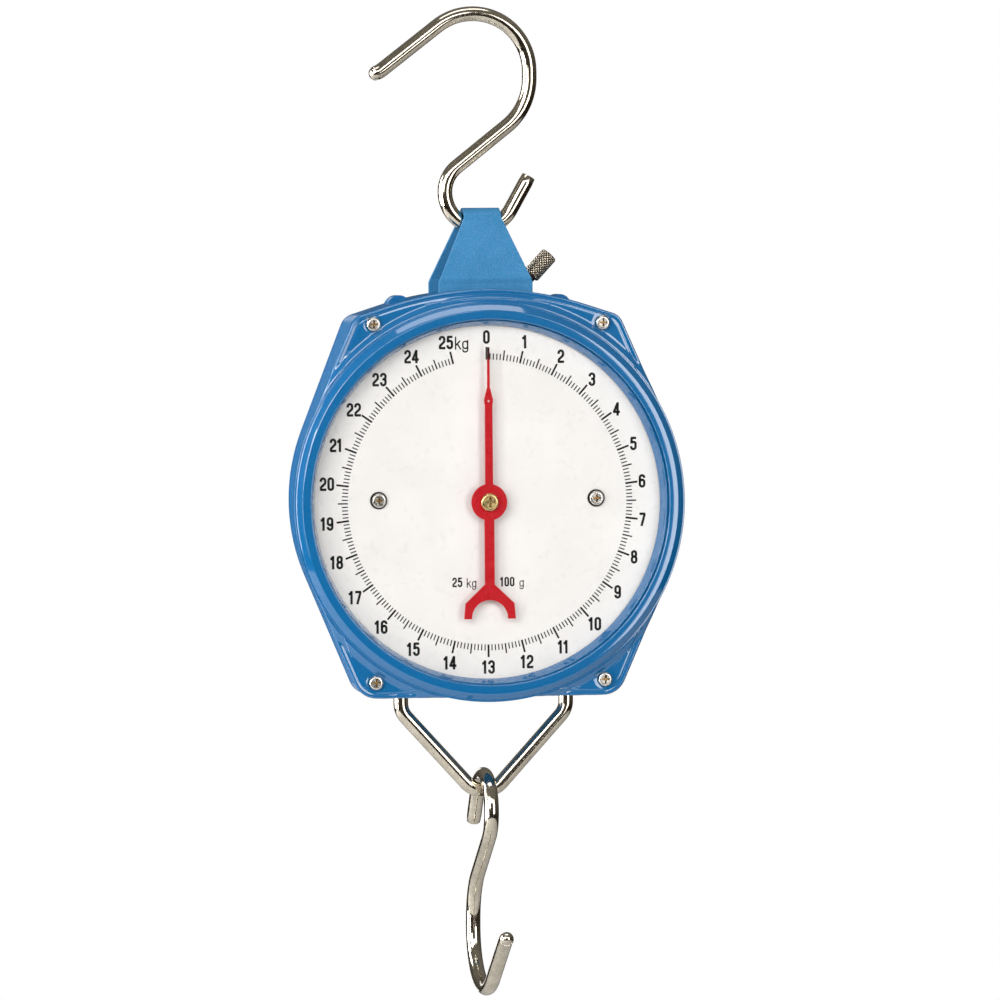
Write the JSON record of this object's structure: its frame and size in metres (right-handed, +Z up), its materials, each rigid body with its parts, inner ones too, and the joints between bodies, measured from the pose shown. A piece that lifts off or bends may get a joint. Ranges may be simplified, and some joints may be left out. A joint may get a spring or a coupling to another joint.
{
  "type": "hanging spring scale",
  "caption": "Hanging dial spring scale: hook, folded bracket, blue sheet-metal case with round white dial and red pointer, wire bail and load hook, knurled zero knob.",
  "frame": {"origin": "hang point: the inside of the top hook's bowl, where the scale rests on its rail", "axes": "+Z up; the dial faces -Y; +X is to the right seen from the front"},
  "size_m": [0.1698, 0.0731, 0.4218],
  "materials": {
    "blue_paint": "medium blue enamel, satin, fine speckle",
    "nickel_wire": "polished nickel plate on round steel rod",
    "bright_steel": "bright steel",
    "zinc_steel": "zinc-plated steel sheet",
    "brass": "machined brass",
    "knob_nickel": "nickel-plated brass, knurled",
    "spring_steel": "drawn spring wire, oiled",
    "black_rubber": "matt rubber",
    "black_washer": "black fibre washer",
    "clear_lens": "clear acrylic window",
    "dial_white": "off-white painted sheet with black printing",
    "pointer_red": "red enamel"
  },
  "bodies": {
    "top_hook": {"top_hook": "nickel_wire"},
    "case": {"hanger_bracket": "blue_paint", "front_rivets": "zinc_steel", "rear_rivets": "zinc_steel", "rear_case": "blue_paint", "case_pillars": "zinc_steel", "stop_buffers": "black_rubber", "front_cover": "blue_paint", "cover_screws": "bright_steel", "bezel_ring": "blue_paint", "lens": "clear_lens", "lens_gasket": "black_rubber", "dial_surround": "blue_paint", "chassis_plate": "zinc_steel", "dial_plate": "dial_white", "dial_spacers": "brass", "dial_washers": "black_washer", "dial_screws": "bright_steel", "movement_bridge": "brass", "bridge_pillars": "brass", "bridge_screws": "zinc_steel", "rack_guide": "brass", "front_bush": "brass", "rear_bush": "brass", "lever_pivot_pin": "bright_steel", "zero_bush": "brass"},
    "pointer": {"pointer": "pointer_red", "pointer_hub": "brass", "pointer_screw": "brass", "pinion_shaft": "bright_steel", "pinion": "brass"},
    "load_carriage": {"rack": "brass", "rack_pin": "bright_steel", "crosshead": "zinc_steel", "lower_spring_pins": "bright_steel", "bail": "nickel_wire", "bail_pins": "bright_steel"},
    "lower_hook": {"lower_hook": "nickel_wire"},
    "zero_knob": {"zero_knob": "knob_nickel", "zero_screw": "bright_steel", "zero_clip": "bright_steel"},
    "zero_nut": {"zero_nut": "brass"},
    "zero_lever": {"zero_lever": "zinc_steel"},
    "spring_carrier": {"spring_carrier": "zinc_steel", "upper_spring_pins": "bright_steel", "carrier_pin": "bright_steel", "main_spring_left": "spring_steel", "main_spring_right": "spring_steel"}
  },
  "joints": [
    {"name": "case_swing", "type": "hinge", "parent": "top_hook", "child": "case", "pos_m": [0, 0, -0.0859], "axis": [1, 0, 0], "range_deg": [-45, 45]},
    {"name": "load_travel", "type": "slide", "parent": "case", "child": "load_carriage", "axis": [0, 0, -1], "range_m": [0, 0.02417], "stiffness_N_per_m": 10148, "springref_m": -0.00013, "deforming": ["main_spring_left", "main_spring_right"]},
    {"name": "pointer_turn", "type": "hinge", "parent": "case", "child": "pointer", "pos_m": [0, 0, -0.2045], "axis": [0, 1, 0], "range_deg": [0, 346.5]},
    {"name": "hook_swing", "type": "hinge", "parent": "load_carriage", "child": "lower_hook", "pos_m": [0, 0, -0.3277], "axis": [1, 0, 0], "range_deg": [-60, 60]},
    {"name": "zero_turn", "type": "hinge", "parent": "case", "child": "zero_knob", "pos_m": [0.0261, 0, -0.1039], "axis": [0.682, 0, 0.7314], "range_deg": [-540, 540]},
    {"name": "zero_nut_travel", "type": "slide", "parent": "case", "child": "zero_nut", "axis": [0.682, 0, 0.7314], "range_m": [-0.00106, 0.00106]},
    {"name": "zero_lever_turn", "type": "hinge", "parent": "case", "child": "zero_lever", "pos_m": [0.01295, 0, -0.13266], "axis": [0, 1, 0], "range_deg": [-6.1, 6.1]},
    {"name": "carrier_travel", "type": "slide", "parent": "case", "child": "spring_carrier", "axis": [0, 0, 1], "range_m": [-0.00136, 0.00136]}
  ],
  "couplings": [
    {"joint": "pointer_turn", "follows": "load_travel", "rad_per_m": 250},
    {"joint": "zero_turn", "follows": "carrier_travel", "rad_per_m": -6929.3},
    {"joint": "zero_nut_travel", "follows": "carrier_travel", "ratio": 0.77199},
    {"joint": "zero_lever_turn", "follows": "carrier_travel", "rad_per_m": 77.199}
  ]
}
